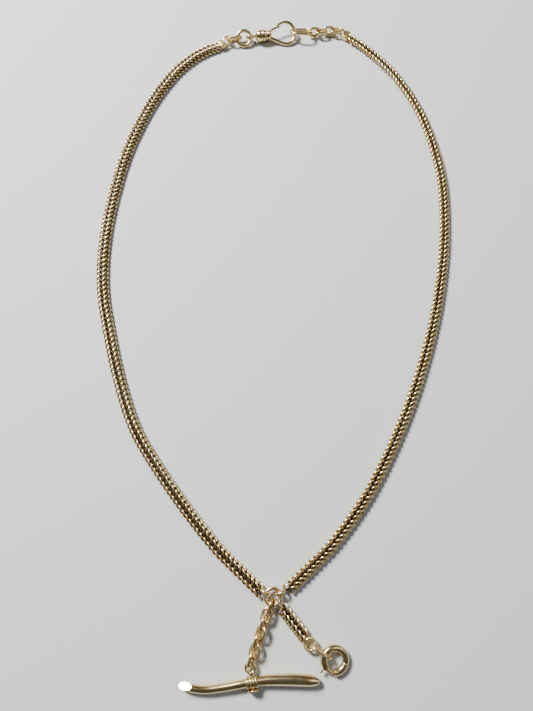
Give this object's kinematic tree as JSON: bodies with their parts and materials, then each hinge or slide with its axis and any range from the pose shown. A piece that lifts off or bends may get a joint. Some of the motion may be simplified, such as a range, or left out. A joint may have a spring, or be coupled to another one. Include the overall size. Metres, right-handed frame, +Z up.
{
  "type": "pocket watch chain",
  "caption": "Gold-coloured double curb watch chain in a loop with a swivel clasp, a toggle bar drop and a bolt ring drop.",
  "frame": {"origin": "middle of the bounding box in plan, on the table under the chain", "axes": "+Y along the loop from the two drops to the clasp; +X to the right seen from above, where the bolt ring hangs; +Z up from the table"},
  "size_m": [0.1146, 0.2148, 0.0043],
  "materials": {
    "curb_chain": "polished gold colour",
    "round_links": "polished gold colour",
    "fittings": "polished gold colour",
    "steel": "spring wire"
  },
  "bodies": {
    "root": {"centre_ring": "round_links", "left_lower_link": "round_links", "right_lower_link": "round_links", "swivel_eye": "fittings", "left_end_cap": "fittings", "right_end_cap": "fittings", "left_strand_run_01": "curb_chain", "left_strand_run_02": "curb_chain", "left_strand_run_03": "curb_chain", "left_strand_run_04": "curb_chain", "left_strand_run_05": "curb_chain", "left_strand_run_06": "curb_chain", "left_strand_run_07": "curb_chain", "left_strand_run_08": "curb_chain", "right_strand_run_01": "curb_chain", "right_strand_run_02": "curb_chain", "right_strand_run_03": "curb_chain", "right_strand_run_04": "curb_chain", "right_strand_run_05": "curb_chain", "right_strand_run_06": "curb_chain", "right_strand_run_07": "curb_chain", "right_strand_run_08": "curb_chain"},
    "jump_ring": {"jump_ring": "fittings"},
    "left_end_link": {"left_end_link": "round_links"},
    "swivel": {"swivel_barrel": "fittings", "swivel_hook": "fittings", "gate_pin": "fittings", "gate_spring": "steel"},
    "gate": {"swivel_gate": "fittings"},
    "clasp_link": {"clasp_link": "round_links"},
    "right_end_link_1": {"right_end_link_1": "round_links"},
    "right_end_link_2": {"right_end_link_2": "round_links"},
    "right_end_link_3": {"right_end_link_3": "round_links"},
    "right_end_link_4": {"right_end_link_4": "round_links"},
    "bar_drop_link_1": {"bar_drop_link_1": "round_links"},
    "bar_drop_link_2": {"bar_drop_link_2": "round_links"},
    "bar_drop_link_3": {"bar_drop_link_3": "round_links"},
    "bar_drop_link_4": {"bar_drop_link_4": "round_links"},
    "bar_drop_link_5": {"bar_drop_link_5": "round_links"},
    "bar_drop_link_6": {"bar_drop_link_6": "round_links"},
    "bar_drop_link_7": {"bar_drop_link_7": "round_links"},
    "t_bar_eye": {"t_bar_eye": "fittings"},
    "t_bar": {"t_bar": "fittings", "t_bar_collar": "fittings"},
    "strap_drop_link": {"strap_drop_link": "round_links"},
    "strap_drop": {"strap_drop": "curb_chain"},
    "strap_drop_ring": {"strap_drop_ring": "round_links"},
    "bolt_ring_link": {"bolt_ring_link": "round_links"},
    "bolt_ring": {"bolt_ring_case": "fittings", "bolt_spring": "steel"},
    "bolt": {"bolt": "fittings"}
  },
  "joints": [
    {"name": "jump_ring_turn", "type": "hinge", "parent": "root", "child": "jump_ring", "pos_m": [-0.01121, 0.10171, 0.00188], "axis": [0, -0.5, 0.866], "continuous": true},
    {"name": "left_end_link_twist", "type": "hinge", "parent": "root", "child": "left_end_link", "pos_m": [-0.01481, 0.10157, 0.00179], "axis": [0.9894, 0.1221, 0.078], "range_deg": [-10, 10]},
    {"name": "swivel_turn", "type": "hinge", "parent": "root", "child": "swivel", "pos_m": [-0.00351, 0.10271, 0.00202], "axis": [0.9962, 0.087, 0], "range_deg": [-15, 15]},
    {"name": "gate_hinge", "type": "hinge", "parent": "swivel", "child": "gate", "pos_m": [-0.00225, 0.10376, 0.00248], "axis": [-0.038, 0.4369, -0.8987], "range_deg": [0, 30], "stiffness_Nm_per_rad": 0.0004, "springref_deg": -20.05, "deforming": ["gate_spring"]},
    {"name": "clasp_link_swing", "type": "hinge", "parent": "root", "child": "clasp_link", "pos_m": [0.01321, 0.10431, 0.00195], "axis": [-0.031, 0.4689, 0.8827], "range_deg": [-3, 6]},
    {"name": "right_end_link_1_twist", "type": "hinge", "parent": "root", "child": "right_end_link_1", "pos_m": [0.01396, 0.1044, 0.00193], "axis": [0.9926, 0.118, -0.028], "range_deg": [-10, 10]},
    {"name": "right_end_link_2_twist", "type": "hinge", "parent": "root", "child": "right_end_link_2", "pos_m": [0.01664, 0.10471, 0.00185], "axis": [0.9926, 0.118, -0.028], "range_deg": [-10, 10]},
    {"name": "right_end_link_3_twist", "type": "hinge", "parent": "root", "child": "right_end_link_3", "pos_m": [0.01932, 0.10503, 0.00178], "axis": [0.9926, 0.118, -0.028], "range_deg": [-10, 10]},
    {"name": "right_end_link_4_twist", "type": "hinge", "parent": "root", "child": "right_end_link_4", "pos_m": [0.02201, 0.10535, 0.0017], "axis": [0.9926, 0.118, -0.028], "range_deg": [-4, 10]},
    {"name": "bar_drop_1_bend", "type": "hinge", "parent": "root", "child": "bar_drop_link_1", "pos_m": [-0.00222, -0.08609, 0.00168], "axis": [-0.9272, 0.3746, 0], "range_deg": [-6, 10]},
    {"name": "bar_drop_2_bend", "type": "hinge", "parent": "bar_drop_link_1", "child": "bar_drop_link_2", "pos_m": [-0.00298, -0.08821, 0.00166], "axis": [-0.003, -0.009, 1], "range_deg": [-10, 0]},
    {"name": "bar_drop_3_bend", "type": "hinge", "parent": "bar_drop_link_2", "child": "bar_drop_link_3", "pos_m": [-0.00376, -0.09037, 0.00164], "axis": [-0.9081, 0.329, -0.259], "range_deg": [-6, 10]},
    {"name": "bar_drop_4_bend", "type": "hinge", "parent": "bar_drop_link_3", "child": "bar_drop_link_4", "pos_m": [-0.00454, -0.09254, 0.00162], "axis": [-0.473, 0.162, 0.866], "range_deg": [-6, 2]},
    {"name": "bar_drop_5_bend", "type": "hinge", "parent": "bar_drop_link_4", "child": "bar_drop_link_5", "pos_m": [-0.00532, -0.0947, 0.0016], "axis": [-0.7188, 0.2649, -0.6428], "range_deg": [-4, 10]},
    {"name": "bar_drop_6_bend", "type": "hinge", "parent": "bar_drop_link_5", "child": "bar_drop_link_6", "pos_m": [-0.0061, -0.09686, 0.00157], "axis": [-0.6071, 0.211, 0.7661], "range_deg": [-6, 2]},
    {"name": "bar_drop_7_bend", "type": "hinge", "parent": "bar_drop_link_6", "child": "bar_drop_link_7", "pos_m": [-0.00688, -0.09902, 0.00155], "axis": [-0.8511, 0.311, -0.423], "range_deg": [-4, 10]},
    {"name": "t_bar_eye_bend", "type": "hinge", "parent": "bar_drop_link_7", "child": "t_bar_eye", "pos_m": [-0.00765, -0.10118, 0.00153], "axis": [-0.473, 0.162, 0.866], "range_deg": [-4, 2]},
    {"name": "t_bar_swivel", "type": "hinge", "parent": "t_bar_eye", "child": "t_bar", "pos_m": [-0.00694, -0.10466, 0.00154], "axis": [-0.139, 0.9903, 0], "range_deg": [-100, 100]},
    {"name": "strap_drop_lift", "type": "hinge", "parent": "root", "child": "strap_drop_link", "pos_m": [-0.00003, -0.08574, 0.00168], "axis": [-0.766, -0.6428, 0], "range_deg": [-6, 25]},
    {"name": "strap_drop_swing", "type": "hinge", "parent": "strap_drop_link", "child": "strap_drop", "pos_m": [0.00092, -0.08687, 0.00168], "axis": [0, 0, 1], "range_deg": [-2, 30]},
    {"name": "strap_ring_bend", "type": "hinge", "parent": "strap_drop", "child": "strap_drop_ring", "pos_m": [0.00751, -0.09473, 0.00121], "axis": [-0.766, -0.6428, 0], "range_deg": [-6, 20]},
    {"name": "bolt_link_bend", "type": "hinge", "parent": "strap_drop_ring", "child": "bolt_ring_link", "pos_m": [0.00958, -0.09643, 0.00187], "axis": [-0.5, -0.866, 0], "range_deg": [-6, 15]},
    {"name": "bolt_ring_swing", "type": "hinge", "parent": "bolt_ring_link", "child": "bolt_ring", "pos_m": [0.01352, -0.09873, 0.00208], "axis": [0, 0, 1], "range_deg": [-6, 20]},
    {"name": "bolt_slide", "type": "hinge", "parent": "bolt_ring", "child": "bolt", "pos_m": [0.01482, -0.09948, 0.0015], "axis": [-0.1649, 0.095, -0.9817], "range_deg": [0, 34], "stiffness_Nm_per_rad": 0.0003, "springref_deg": -20.05, "deforming": ["bolt_spring"]}
  ]
}
